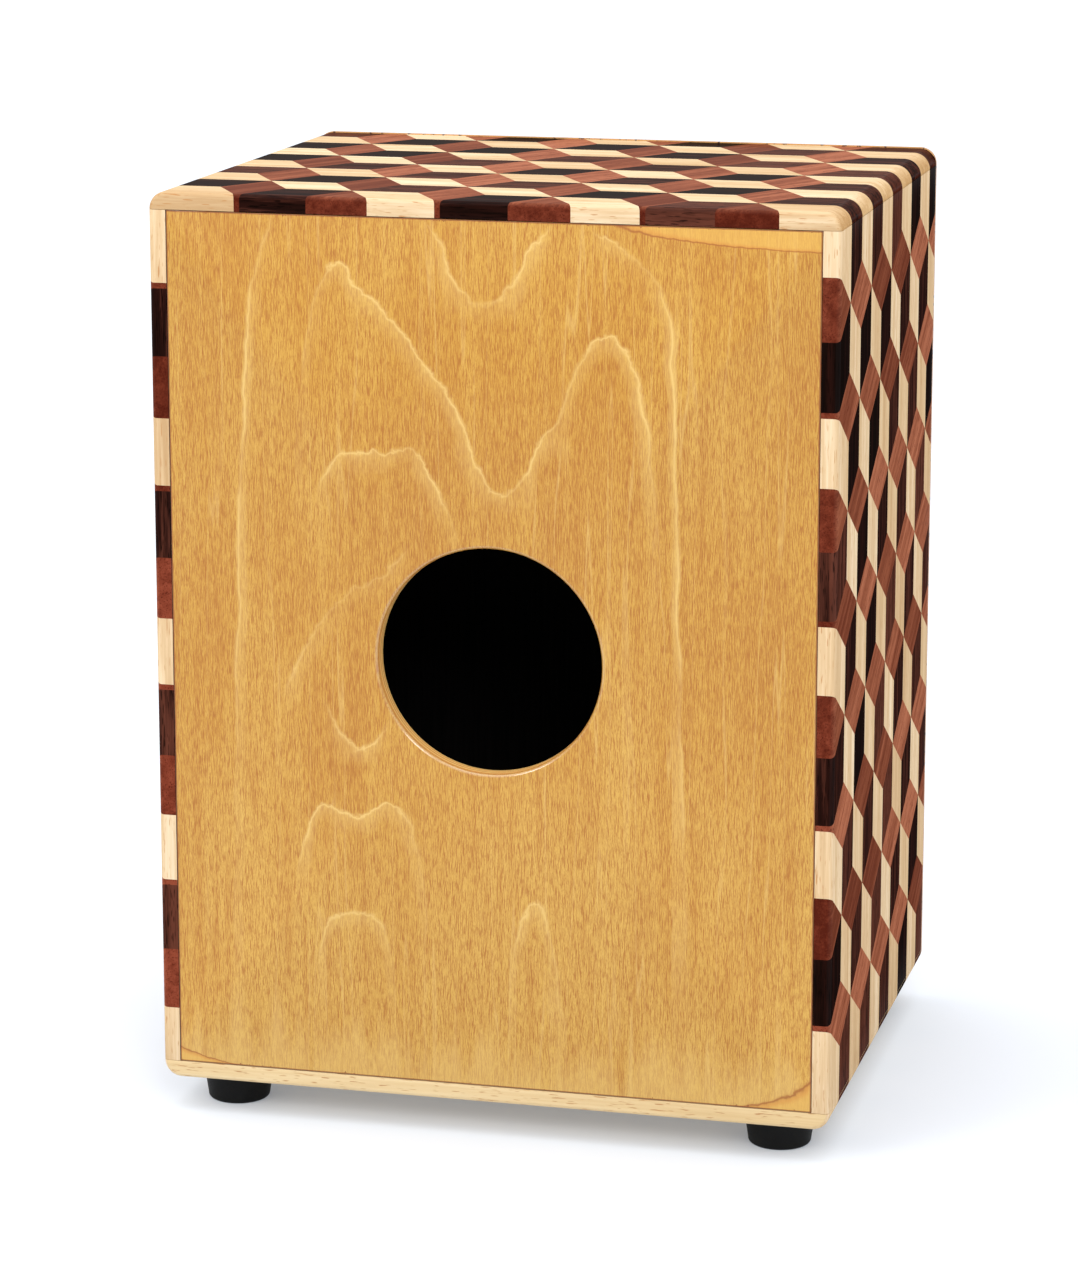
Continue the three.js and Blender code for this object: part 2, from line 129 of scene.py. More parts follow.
# ---- Colours, light and camera ----


def srgb(red, green, blue):
    """A colour given in 0 to 255 as the eye reads it, as linear light with alpha."""
    linear = []
    for value in (red, green, blue):
        share = value / 255
        linear.append(share / 12.92 if share <= 0.04045 else ((share + 0.055) / 1.055) ** 2.4)
    return (*linear, 1.0)


VENEER_DEEP = srgb(172, 118, 42)
VENEER_GOLD = srgb(185, 137, 53)
VENEER_LIGHT = srgb(196, 154, 72)
VENEER_RING = srgb(210, 175, 104)
VENEER_VESSEL = srgb(154, 92, 30)
VENEER_STAINED = srgb(206, 160, 76)
VENEER_TIDE_HALO = srgb(190, 128, 54)
VENEER_TIDE_LINE = srgb(142, 80, 32)
# Torn veneer at the top and bottom edges, and the painted shade in the side seams.
VENEER_TEAR_AND_SEAM_SHADE = srgb(112, 46, 16)
VESSEL_SCALE = (3000, 3000, 170)

FLOOR_GLOW = (0.8, 0.88, 1.0, 1)
FLOOR_GLOW_STRENGTH = 0.22
SKY_HORIZON = (0.26, 0.23, 0.21, 1)
SKY_ZENITH = (0.95, 0.98, 1.0, 1)
SKY_STRENGTH = 2.1

CAMERA_AZIMUTH = 14.26
CAMERA_ELEVATION = 11.73
CAMERA_DISTANCE = 2.255
CAMERA_AIM = (-0.0112, 0.0, 0.2781)
CAMERA_LENS = 118.6
CAMERA_SENSOR = 36
CAMERA_SHIFT_Y = -0.07


def placed(name, data):
    """Puts a mesh, a light or a camera into the scene."""
    thing = bpy.data.objects.new(name, data)
    bpy.context.scene.collection.objects.link(thing)
    return thing


def as_object(bm, name="temporary"):
    mesh = bpy.data.meshes.new(name)
    bm.to_mesh(mesh)
    bm.free()
    return placed(name, mesh)


def finished(bm, name, materials, replaces, body="shell"):
    """Turns a bmesh into a piece that rides on a body and stands for a CAD node."""
    bmesh.ops.recalc_face_normals(bm, faces=bm.faces)
    piece = as_object(bm, name)
    for polygon in piece.data.polygons:
        polygon.use_smooth = True
    piece.data.set_sharp_from_angle(angle=SMOOTH_ANGLE)
    for material in materials:
        piece.data.materials.append(material)
    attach(piece, body)
    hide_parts(replaces)


# ---- Shader helpers ----


class Shader:
    """One Principled material and short calls that add nodes to it."""

    def __init__(self, name, roughness=0.5, metallic=0.0, specular=0.5, coat=0.0, coat_roughness=0.1):
        self.material = bpy.data.materials.new(name)
        self.material.use_nodes = True
        self.tree = self.material.node_tree
        self.bsdf = self.tree.nodes["Principled BSDF"]
        self.bsdf.inputs["Roughness"].default_value = roughness
        self.bsdf.inputs["Metallic"].default_value = metallic
        self.bsdf.inputs["Specular IOR Level"].default_value = specular
        self.bsdf.inputs["Coat Weight"].default_value = coat
        self.bsdf.inputs["Coat Roughness"].default_value = coat_roughness

    def node(self, kind, inputs, **settings):
        node = self.tree.nodes.new(kind)
        for name, value in settings.items():
            setattr(node, name, value)
        for key, value in inputs.items():
            if isinstance(value, bpy.types.NodeSocket):
                self.tree.links.new(value, node.inputs[key])
            else:
                node.inputs[key].default_value = value
        return node

    def calc(self, operation, *values):
        inputs = dict(enumerate(values))
        return self.node("ShaderNodeMath", inputs, operation=operation).outputs[0]

    def add(self, first, second):
        return self.calc("ADD", first, second)

    def minus(self, first, second):
        return self.calc("SUBTRACT", first, second)

    def times(self, first, second):
        return self.calc("MULTIPLY", first, second)

    def attribute(self, name, output="Fac"):
        return self.node("ShaderNodeAttribute", {}, attribute_name=name).outputs[output]

    def position(self):
        return self.node("ShaderNodeTexCoord", {}).outputs["Object"]

    def split(self, vector):
        return self.node("ShaderNodeSeparateXYZ", {0: vector}).outputs

    def noise(self, vector, scale, detail=2.0, roughness=0.5, distortion=0.0):
        """Noise that gets finer as the scale grows: one number, or one for each axis."""
        if isinstance(scale, tuple):
            stretched = {0: vector, 1: scale}
            vector = self.node("ShaderNodeVectorMath", stretched, operation="MULTIPLY").outputs[0]
            scale = 1.0
        inputs = {
            "Vector": vector,
            "Scale": scale,
            "Detail": detail,
            "Roughness": roughness,
            "Distortion": distortion,
        }
        return self.node("ShaderNodeTexNoise", inputs).outputs[0]

    def remap(self, value, low, high, to_low=0.0, to_high=1.0, smooth=True):
        kind = "SMOOTHSTEP" if smooth else "LINEAR"
        inputs = {0: value, 1: low, 2: high, 3: to_low, 4: to_high}
        return self.node("ShaderNodeMapRange", inputs, interpolation_type=kind).outputs[0]

    def mix(self, factor, first, second, mode="MIX"):
        inputs = {0: factor, 6: first, 7: second}
        return self.node("ShaderNodeMix", inputs, data_type="RGBA", blend_type=mode).outputs[2]

    def ramp(self, factor, stops):
        """A colour from dark to light stops, each (place from 0 to 1, colour)."""
        node = self.node("ShaderNodeValToRGB", {0: factor})
        elements = node.color_ramp.elements
        while len(elements) < len(stops):
            elements.new(0.5)
        for element, (place, color) in zip(elements, stops):
            element.position = place
            element.color = color
        return node.outputs[0]

    def curve(self, value, points):
        """A smooth curve through (value, result) points with both from 0 to 1."""
        node = self.node("ShaderNodeFloatCurve", {"Value": value})
        curve = node.mapping.curves[0]
        while len(curve.points) < len(points):
            curve.points.new(0.5, 0.5)
        for point, place in zip(curve.points, points):
            point.location = place
        node.mapping.update()
        return node.outputs[0]

    def hump(self, value, centre, width):
        """A bell curve of the value, 1 at the centre."""
        offset = self.calc("DIVIDE", self.minus(value, centre), width)
        return self.calc("EXPONENT", self.times(self.times(offset, offset), -1.0))

    def set(self, name, value):
        self.tree.links.new(value, self.bsdf.inputs[name])

    def bump(self, height, strength, distance=0.2 * MM):
        inputs = {"Height": height, "Strength": strength, "Distance": distance}
        self.set("Normal", self.node("ShaderNodeBump", inputs).outputs[0])


# ---- Wood materials ----


def gloss(shader, flat, edge, seat):
    """Coat weight of flat faces, of rounded edges and corners, and of the top that is sat on."""
    normal = shader.node("ShaderNodeTexCoord", {}).outputs["Normal"]
    size = shader.node("ShaderNodeVectorMath", {0: normal}, operation="ABSOLUTE").outputs[0]
    x, y, z = shader.split(size)
    greatest = shader.calc("MAXIMUM", shader.calc("MAXIMUM", x, y), z)
    rounded = shader.remap(greatest, 0.999, 0.96, 0.0, edge - flat)
    sat_on = shader.remap(shader.split(normal)[2], 0.9, 1.0, flat, seat)
    shader.set("Coat Weight", shader.add(rounded, sat_on))


def solid_wood(name, dark, middle, light, pore, band_scale, pore_share, end_shade, variety):
    """Solid timber that follows each block's own grain.

    The grain attribute runs along the fibres in X. Broad bands run from dark to light, pores are
    short dark dashes, and end grain drinks more lacquer and goes darker. The lacquer is glossiest
    where edges are rounded and where the drum is sat on. The variety says how far blocks differ.
    """
    shader = Shader(name, roughness=0.4, specular=0.0, coat_roughness=0.13)
    grain = shader.attribute("grain", "Vector")
    bands = shader.noise(grain, (5, band_scale, band_scale), detail=3, distortion=0.4)
    fibres = shader.noise(grain, (22, 800, 800), detail=3, roughness=0.6)
    pores = shader.noise(grain, (110, 1500, 1500), detail=1)
    tone = shader.attribute("block")
    mixed = shader.add(shader.times(bands, 0.6), shader.times(fibres, 0.4))
    mixed = shader.add(mixed, shader.remap(tone, 0, 1, -variety, variety, smooth=False))
    color = shader.ramp(mixed, [(0.3, dark), (0.5, middle), (0.72, light)])
    pore_mask = shader.remap(pores, 1 - pore_share, 1 - pore_share + 0.08)
    color = shader.mix(shader.times(pore_mask, 0.75), color, pore)
    end_color = shader.mix(1.0, color, end_shade, "MULTIPLY")
    color = shader.mix(shader.attribute("end_grain"), color, end_color)
    shader.set("Base Color", color)
    gloss(shader, flat=0.004, edge=0.06, seat=0.1)
    shader.bump(shader.minus(fibres, shader.times(pore_mask, 0.6)), 0.12)
    return shader.material


def pale_block_wood():
    return solid_wood(
        "pale_block_wood",
        dark=srgb(184, 150, 109),
        middle=srgb(205, 176, 137),
        light=srgb(226, 205, 173),
        pore=srgb(172, 118, 68),
        band_scale=120,
        pore_share=0.36,
        end_shade=srgb(240, 225, 200),
        variety=0.09,
    )


def dark_block_wood():
    return solid_wood(
        "dark_block_wood",
        dark=srgb(15, 7, 5),
        middle=srgb(35, 15, 11),
        light=srgb(88, 48, 36),
        pore=srgb(8, 4, 3),
        band_scale=240,
        pore_share=0.42,
        end_shade=srgb(225, 190, 170),
        variety=0.2,
    )


def brown_block_wood():
    return solid_wood(
        "brown_block_wood",
        dark=srgb(98, 48, 32),
        middle=srgb(130, 72, 50),
        light=srgb(164, 100, 73),
        pore=srgb(84, 36, 24),
        band_scale=180,
        pore_share=0.4,
        end_shade=srgb(178, 118, 112),
        variety=0.18,
    )


def black_painted_shade():
    """Flat black painted shade inside the shell, standing in for the dark of the closed drum, with the
    grain just showing.
    """
    shader = Shader("black_painted_shade", roughness=0.8, specular=0.15)
    streaks = shader.noise(shader.position(), (420, 420, 18), detail=3)
    shader.set("Base Color", shader.ramp(streaks, [(0.35, srgb(9, 8, 8)), (0.7, srgb(24, 19, 19))]))
    shader.bump(streaks, 0.15)
    return shader.material


def paint_shade_inside(bm, index):
    """Gives a material index to the faces that look into the shell, where the black painted shade
    goes.
    """
    ease = 0.3 * MM
    for face in bm.faces:
        centre = face.calc_center_median()
        within_x = abs(centre.x) < INNER_X + ease
        within_y = panel_high.y - ease < centre.y < FRONT_Y + ease
        within_z = FLOOR_Z - ease < centre.z < CEILING_Z + ease
        inwards = face.normal.dot(centre - Vector((0, 0, CENTRE_Z))) < 0
        if within_x and within_y and within_z and inwards:
            face.material_index = index


# ---- Shapes ----


def rectangle_ring(half_x, low_z, high_z, count, y):
    """Points round a rectangle, one in each direction that circle_ring has one."""
    centre = Vector((0, y, (low_z + high_z) / 2))
    half_z = (high_z - low_z) / 2
    points = []
    for i in range(count):
        angle = 2 * math.pi * i / count
        c, s = math.cos(angle), math.sin(angle)
        reach = min(half_x / max(abs(c), 1e-9), half_z / max(abs(s), 1e-9))
        points.append(centre + Vector((reach * c, 0, reach * s)))
    for sign_x in (1, -1):
        for sign_z in (1, -1):
            corner = centre + Vector((sign_x * half_x, 0, sign_z * half_z))
            nearest = min(range(count), key=lambda i: (points[i] - corner).length)
            points[nearest] = corner
    return points


def circle_ring(radius, centre_z, count, y):
    ring = []
    for i in range(count):
        angle = 2 * math.pi * i / count
        ring.append(Vector((radius * math.cos(angle), y, centre_z + radius * math.sin(angle))))
    return ring


def skin_rings(bm, rings, capped=False):
    """Quads between one ring of points and the next, ending in caps or back at the first ring."""
    made = [[bm.verts.new(point) for point in ring] for ring in rings]
    pairs = list(zip(made, made[1:]))
    if capped:
        bm.faces.new(made[0])
        bm.faces.new(made[-1])
    else:
        pairs.append((made[-1], made[0]))
    for ring, following in pairs:
        count = len(ring)
        for i in range(count):
            j = (i + 1) % count
            bm.faces.new((ring[i], ring[j], following[j], following[i]))


def turn(bm, profile, place, capped=False):
    """Turns a profile round the local Z axis of the matrix place.

    The profile lists (radius, height), where a radius may be a function of the angle.
    """
    stations = []
    for radius, height in profile:
        ring = []
        for i in range(TURN_STEPS):
            angle = 2 * math.pi * i / TURN_STEPS
            reach = radius(angle) if callable(radius) else radius
            ring.append(place @ Vector((reach * math.cos(angle), reach * math.sin(angle), height)))
        stations.append(ring)
    skin_rings(bm, stations, capped)


def cross_slot(half_width, reach):
    """The outline of a cross-head recess, as a radius at each angle."""

    def radius(angle):
        along = max(abs(math.cos(angle)), abs(math.sin(angle)))
        aside = max(min(abs(math.cos(angle)), abs(math.sin(angle))), 1e-6)
        return min(reach / along, half_width / aside)

    return radius


def facing(direction, origin):
    """A matrix that puts local +Z along a direction, at an origin."""
    turned = Vector(direction).to_track_quat("Z", "Y").to_matrix().to_4x4()
    return Matrix.Translation(origin) @ turned


def carved(bm, cutters):
    """The first bmesh with the second one cut out of it."""
    bmesh.ops.recalc_face_normals(cutters, faces=cutters.faces)
    body = as_object(bm)
    tool = as_object(cutters)
    modifier = body.modifiers.new("carve", "BOOLEAN")
    modifier.operation = "DIFFERENCE"
    modifier.solver = "EXACT"
    modifier.object = tool
    finished_body = body.evaluated_get(bpy.context.evaluated_depsgraph_get())
    mesh = bpy.data.meshes.new_from_object(finished_body)
    result = bmesh.new()
    result.from_mesh(mesh)
    for piece in (body, tool):
        data = piece.data
        bpy.data.objects.remove(piece)
        bpy.data.meshes.remove(data)
    bpy.data.meshes.remove(mesh)
    return result


def bevel_sharp(bm, width=SHARP_EDGE_BEVEL, segments=2):
    edges = [e for e in bm.edges if len(e.link_faces) == 2 and e.calc_face_angle() > SHARP_ANGLE]
    settings = {"offset": width, "segments": segments, "profile": 0.5, "clamp_overlap": True}
    bmesh.ops.bevel(bm, geom=edges, affect="EDGES", **settings)


def bevelled_box(low, high, width):
    bm = bmesh.new()
    size = high - low
    place = Matrix.Translation((low + high) / 2) @ Matrix.Diagonal((*size, 1))
    bmesh.ops.create_cube(bm, size=1, matrix=place)
    bevel_sharp(bm, width, segments=3)
    return bm


def refined(name, width):
    """A copy of a CAD node's mesh with its flat faces joined and its sharp edges eased."""
    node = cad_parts[name]
    bm = bmesh.new()
    bm.from_mesh(node.data)
    bm.transform(node.matrix_world)
    bmesh.ops.dissolve_limit(bm, angle_limit=math.radians(1), verts=bm.verts, edges=bm.edges)
    bevel_sharp(bm, width)
    return bm


# ---- Mosaic boards ----


def rounded_outline(inset):
    """The shell's outline in X and Z, drawn in by inset, counter-clockwise."""
    right = HALF_WIDTH - inset
    top = TOP_Z - inset
    bottom = BASE_Z + inset
    radius = CORNER_RADIUS - inset
    corners = [
        (right - radius, bottom + radius, -90),
        (right - radius, top - radius, 0),
        (-right + radius, top - radius, 90),
        (-right + radius, bottom + radius, 180),
    ]
    points = []
    for x, z, start in corners:
        for i in range(CORNER_STEPS + 1):
            angle = math.radians(start + 90 * i / CORNER_STEPS)
            points.append((x + radius * math.cos(angle), z + radius * math.sin(angle)))
    return points


def arris_stations(face_y, inwards, radius):
    """(y, inset) pairs that round the outline over from a flat face."""
    stations = []
    for i in range(ARRIS_STEPS + 1):
        angle = math.radians(90 * i / ARRIS_STEPS)
        y = face_y + inwards * radius * (1 - math.cos(angle))
        stations.append((y, radius * (1 - math.sin(angle))))
    return stations


def envelope(stations):
    """A closed solid through the shell's outline at each (y, inset) station."""
    bm = bmesh.new()
    rings = [[(x, y, z) for x, z in rounded_outline(inset)] for y, inset in stations]
    skin_rings(bm, rings, capped=True)
    bmesh.ops.remove_doubles(bm, verts=bm.verts, dist=1e-7)
    bmesh.ops.recalc_face_normals(bm, faces=bm.faces)
    return bm


def everything(bm):
    return bm.verts[:] + bm.edges[:] + bm.faces[:]


def slice_off(bm, point, normal):
    """Removes what lies on the side that the normal points to, and caps the cut."""
    result = bmesh.ops.bisect_plane(
        bm, geom=everything(bm), dist=1e-7, plane_co=point, plane_no=normal, clear_outer=True
    )
    edges = [item for item in result["geom_cut"] if isinstance(item, bmesh.types.BMEdge)]
    bmesh.ops.edgeloop_fill(bm, edges=edges)


def score(bm, point, normal):
    bmesh.ops.bisect_plane(bm, geom=everything(bm), dist=1e-7, plane_co=point, plane_no=normal)


def shell_board(cuts):
    """The shell's envelope with each (point, normal) sliced off."""
    bm = envelope([*arris_stations(REAR_Y, 1, ARRIS_RADIUS), (FRONT_Y, 0.0)])
    for point, normal in cuts:
        slice_off(bm, point, normal)
    bevel_sharp(bm)
    return bm


class Mosaic:
    """A tumbling-block pattern on one board.

    Strips are counted from the first strip line along Y. Rows are counted down from the farthest
    one in the direction of along, and their rhombi stand on every other strip line.
    """

    def __init__(self, name, along, through, first_row, rows):
        self.name = name
        self.along = Vector(along)
        self.through = Vector(through)
        self.first_row = first_row
        self.rows = rows

    def block_at(self, point):
        """(wood, row or gap, strip) of the block that holds a point."""
        u = (point.y - STRIP_ORIGIN.y) / STRIP
        v = self.along.dot(point)
        above = 0
        for row in range(self.rows):
            centre = self.first_row - row * ROW_PITCH
            parity = (1 + row) % 2
            axis = 2 * round((u - parity) / 2) + parity
            if abs(v - centre) < RHOMB_HALF * (1 - abs(u - axis)):
                return "brown", row, axis
            if v < centre:
                above = row + 1
        strip = math.floor(u)
        wood = "pale" if (strip - 1 - above) % 2 == 0 else "dark"
        return wood, above, strip

    def wrap(self, bm):
        """Carries the straight strips on over a board that no row of rhombi reaches."""
        self.score_strips(bm)
        bm.normal_update()
        self.paint(bm)

    def score_strips(self, bm):
        """Cuts the surface along the strip lines."""
        for i in range(STRIP_COUNT):
            score(bm, STRIP_ORIGIN + ACROSS_STRIPS * STRIP * i, ACROSS_STRIPS)

    def score_lines(self, bm):
        """Cuts the surface along the three directions of the blocks' edges."""
        self.score_strips(bm)
        reach = [self.along.dot(v.co) for v in bm.verts]
        spread = RHOMB_HALF * (STRIP_COUNT + 1)
        count = math.ceil((max(reach) - min(reach) + 2 * spread) / (2 * RHOMB_HALF))
        for slope in (1, -1):
            normal = (self.along * STRIP - ACROSS_STRIPS * slope * RHOMB_HALF).normalized()
            start = self.first_row + (0 if slope > 0 else 2 * RHOMB_HALF)
            start -= 2 * RHOMB_HALF * math.floor((start - min(reach) + spread) / (2 * RHOMB_HALF))
            for i in range(count):
                place = start + 2 * RHOMB_HALF * i
                score(bm, STRIP_ORIGIN + self.along * place, normal)

    def paint(self, bm):
        """Gives every face its block's wood, grain and tone, and joins faces of one block."""
        woods = {"pale": 0, "dark": 1, "brown": 2}
        numbers = {}
        block_layer = bm.faces.layers.int.new("block_number")
        blocks = []
        for face in bm.faces:
            block = self.block_at(face.calc_center_median())
            if block not in numbers:
                numbers[block] = len(blocks)
                blocks.append(block)
            face[block_layer] = numbers[block]
            face.material_index = woods[block[0]]
        inner = []
        for edge in bm.edges:
            if len(edge.link_faces) == 2:
                one, other = edge.link_faces
                flat = one.normal.angle(other.normal, 1) < 1e-3
                if flat and one[block_layer] == other[block_layer]:
                    inner.append(edge)
        bmesh.ops.dissolve_edges(bm, edges=inner, use_verts=True)
        self.store_grain(bm, block_layer, blocks)
        bm.faces.layers.int.remove(block_layer)

    def store_grain(self, bm, block_layer, blocks):
        tone_layer = bm.faces.layers.float.new("block")
        end_layer = bm.faces.layers.float.new("end_grain")
        grain_layer = bm.loops.layers.float_vector.new("grain")
        frames = [self.grain_frame(block) for block in blocks]
        for face in bm.faces:
            tone, offset, fibre, side = frames[face[block_layer]]
            face[tone_layer] = tone
            face[end_layer] = abs(face.normal.dot(fibre)) ** 2
            for loop in face.loops:
                place = loop.vert.co
                local = Vector((place.dot(fibre), place.dot(side), place.dot(self.through)))
                loop[grain_layer] = local + offset

    def grain_frame(self, block):
        """(tone, offset, fibre direction, side direction) of one block, the same on every run."""
        draw = random.Random(f"{self.name} {block}")
        tone = draw.random()
        offset = Vector([draw.uniform(-1, 1) for _ in range(3)])
        fibre = self.along.copy()
        if block[0] == "brown":
            fibre = (ACROSS_STRIPS * STRIP + self.along * RHOMB_HALF).normalized()
        turn = Matrix.Rotation(math.radians(draw.uniform(-3, 3)), 3, self.through)
        fibre = turn @ fibre
        return tone, offset, fibre, self.through.cross(fibre)


def add_mosaic_board(mosaic, cuts, woods, painted_shade):
    bm = shell_board(cuts)
    mosaic.score_lines(bm)
    mosaic.paint(bm)
    paint_shade_inside(bm, len(woods))
    finished(bm, f"{mosaic.name}_mosaic", [*woods, painted_shade], mosaic.name)


def right_side_mosaic():
    return Mosaic("right_side_board", (0, 0, 1), (1, 0, 0), TOP_Z - SIDE_FIRST_ROW, SIDE_ROWS)


def add_mosaic_boards(woods, painted_shade):
    half_gap = JOINT_GAP / 2
    side_ends = [
        ((0, 0, CEILING_Z - half_gap), (0, 0, 1)),
        ((0, 0, FLOOR_Z + half_gap), (0, 0, -1)),
    ]
    right = right_side_mosaic()
    add_mosaic_board(right, [((INNER_X, 0, 0), (-1, 0, 0)), *side_ends], woods, painted_shade)
    last_row = TOP_Z - SIDE_FIRST_ROW - (SIDE_ROWS - 1) * ROW_PITCH
    left = Mosaic("left_side_board", (0, 0, -1), (-1, 0, 0), -last_row, SIDE_ROWS)
    add_mosaic_board(left, [((-INNER_X, 0, 0), (1, 0, 0)), *side_ends], woods, painted_shade)
    top = Mosaic("top_board", (1, 0, 0), (0, 0, 1), ROW_PITCH * (TOP_ROWS - 1) / 2, TOP_ROWS)
    add_mosaic_board(top, [((0, 0, CEILING_Z + half_gap), (0, 0, -1))], woods, painted_shade)


# ---- Rear panel ----

# Where growth rings cross the veneer's face, as points (share of its width, share of its height).
LEFT_PEAK = (
    (0.2, 0.7), (0.21, 0.82), (0.235, 0.91), (0.262, 0.945), (0.3, 0.92), (0.36, 0.88), (0.4, 0.84),
)
VALLEY = ((0.44, 0.8), (0.475, 0.74), (0.517, 0.694), (0.55, 0.71), (0.575, 0.75), (0.61, 0.785))
RIGHT_PEAK = ((0.63, 0.83), (0.65, 0.86), (0.68, 0.875), (0.71, 0.855), (0.735, 0.8), (0.76, 0.6))
TOP_DIP = (
    (0.4, 1.0), (0.425, 0.975), (0.45, 0.93), (0.49, 0.905), (0.53, 0.925), (0.56, 0.965), (0.6, 1.0),
)
RIGHT_SHOULDER = (
    (0.66, 0.99), (0.72, 0.965), (0.76, 0.93), (0.78, 0.85), (0.79, 0.6), (0.8, 0.3), (0.81, 0.1),
)
LEFT_PLATEAU = (
    (0.23, 0.66), (0.24, 0.7), (0.27, 0.73), (0.33, 0.732), (0.375, 0.74), (0.42, 0.7), (0.455, 0.62),
)
HOLE_SHOULDER = (
    (0.175, 0.45), (0.193, 0.48), (0.216, 0.515), (0.273, 0.565), (0.33, 0.593), (0.375, 0.625),
)
HOLE_DIP = ((0.24, 0.44), (0.267, 0.408), (0.29, 0.391), (0.318, 0.4), (0.345, 0.42))
TWO_HUMPS = (
    (0.19, 0.2), (0.21, 0.285), (0.24, 0.322), (0.29, 0.31), (0.35, 0.325), (0.375, 0.3), (0.4, 0.15),
)
LOW_HUMP = (
    (0.22, 0.08), (0.234, 0.155), (0.25, 0.188), (0.285, 0.197), (0.325, 0.188), (0.345, 0.14),
    (0.35, 0.1),
)
LEFT_RISE = ((0.09, 0.05), (0.1, 0.4), (0.115, 0.75), (0.135, 0.92), (0.17, 1.0))
LOW_SPIKE = ((0.53, 0.05), (0.535, 0.12), (0.55, 0.2), (0.575, 0.22), (0.6, 0.16), (0.62, 0.04))
RING_LINES = (
    LEFT_PEAK + VALLEY + RIGHT_PEAK,
    TOP_DIP,
    RIGHT_SHOULDER,
    LEFT_PLATEAU,
    HOLE_SHOULDER,
    HOLE_DIP,
    TWO_HUMPS,
    LOW_HUMP,
    LEFT_RISE,
    LOW_SPIKE,
)
RING_STEP = 0.004


def ring_line(shader, across, up, points):
    """Bright along one drawn ring, as wide where it runs level as where it climbs."""
    first, last = points[0][0], points[-1][0]
    width = panel_high.x - panel_low.x
    height = panel_high.z - panel_low.z
    crest = shader.curve(across, points)
    ahead = shader.curve(shader.add(across, RING_STEP), points)
    climb = shader.times(shader.minus(ahead, crest), height / width / RING_STEP)
    stretch = shader.calc("SQRT", shader.add(shader.times(climb, climb), 1.0))
    above = shader.calc("DIVIDE", shader.times(shader.minus(up, crest), height), stretch)
    line = shader.times(shader.hump(above, 0.0, 1.0 * MM), 0.85)
    glow = shader.remap(above, -12 * MM, 0.0, 0.0, 0.5)
    glow = shader.times(glow, shader.calc("LESS_THAN", above, 0.0))
    start = shader.remap(across, first - 0.005, first + 0.025)
    end = shader.remap(across, last + 0.005, last - 0.025)
    return shader.times(shader.add(line, glow), shader.times(start, end))


def ring_figure(shader, across, up, place):
    """Every drawn ring with the ripple of the wood in it, and thin upright lines between them."""
    ripple = shader.noise(place, (110, 9, 110), detail=3, roughness=0.6)
    sway = shader.noise(place, (60, 9, 40))
    across = shader.add(across, shader.times(shader.minus(sway, 0.5), 0.02))
    up = shader.add(up, shader.times(shader.minus(ripple, 0.5), 0.03))
    upright = shader.noise(place, (70, 9, 2.2))
    figure = shader.times(shader.hump(upright, 0.52, 0.008), 0.5)
    for points in RING_LINES:
        figure = shader.calc("MAXIMUM", figure, ring_line(shader, across, up, points))
    presence = shader.noise(place, (22, 9, 16))
    return shader.times(figure, shader.remap(presence, 0.34, 0.6, 0.3, 1.0))


def veneer_color(shader, across, up, place):
    """Golden birch with fine dark vessels, cloudy upright streaks and pale ring lines."""
    figure = ring_figure(shader, across, up, place)
    vessels = shader.noise(place, VESSEL_SCALE, roughness=0.6)
    fine = shader.noise(place, (4200, 4200, 600), detail=1)
    streaks = shader.noise(place, (190, 190, 9), detail=3)
    clouds = shader.noise(place, (26, 26, 7), detail=3)
    # Paler towards the bottom: painted light that lifts the lower part of the face.
    clouds = shader.add(clouds, shader.remap(up, 0.6, 0.0, 0.0, 0.34))
    color = shader.ramp(clouds, [(0.2, VENEER_DEEP), (0.5, VENEER_GOLD), (0.8, VENEER_LIGHT)])
    color = shader.mix(shader.remap(streaks, 0.5, 0.7, 0.0, 0.5), color, VENEER_DEEP)
    color = shader.mix(shader.remap(streaks, 0.46, 0.34, 0.0, 0.35), color, VENEER_LIGHT)
    color = shader.mix(shader.remap(vessels, 0.46, 0.64, 0.0, 0.85), color, VENEER_VESSEL)
    color = shader.mix(shader.remap(vessels, 0.5, 0.32, 0.0, 0.6), color, VENEER_LIGHT)
    color = shader.mix(shader.remap(fine, 0.5, 0.7, 0.0, 0.5), color, VENEER_VESSEL)
    return shader.mix(shader.times(figure, 0.7), color, VENEER_RING)


def birch_veneer():
    """The rear panel's rotary-cut birch, with its stains and the plies inside the sound hole."""
    shader = Shader("birch_veneer", roughness=0.38, specular=0.3, coat_roughness=0.14)
    shader.bsdf.inputs["Coat IOR"].default_value = 1.8
    place = shader.position()
    x, y, z = shader.split(place)
    across = shader.remap(x, panel_low.x, panel_high.x, smooth=False)
    up = shader.remap(z, panel_low.z, panel_high.z, smooth=False)
    color = veneer_color(shader, across, up, place)
    color = add_washed_foot(shader, color, up, place)
    color = add_corner_stains(shader, color, x, z)
    color = add_torn_edges_and_seam_shade(shader, color, x, z)
    depth = shader.remap(y, panel_low.y, panel_high.y, smooth=False)
    color = add_ply_layers(shader, color, depth)
    shader.set("Base Color", color)
    rim = HOLE_RIM_RADIUS / (panel_high.y - panel_low.y)
    rounded = shader.times(shader.remap(depth, 0.0, 0.02), shader.remap(depth, rim, rim * 0.9))
    shader.set("Coat Weight", shader.remap(rounded, 0, 1, 0.07, 1.0, smooth=False))
    vessels = shader.noise(place, VESSEL_SCALE)
    shader.set("Roughness", shader.remap(vessels, 0.3, 0.75, 0.3, 0.46))
    shader.bump(vessels, -0.12)
    return shader.material


def add_washed_foot(shader, color, up, place):
    """A paler band along the panel's foot that licks upwards with the grain."""
    licks = shader.noise(place, (80, 80, 8), detail=3)
    edge = shader.add(up, shader.times(licks, -0.22))
    return shader.mix(shader.remap(edge, -0.03, -0.11, 0.0, 0.42), color, VENEER_RING)


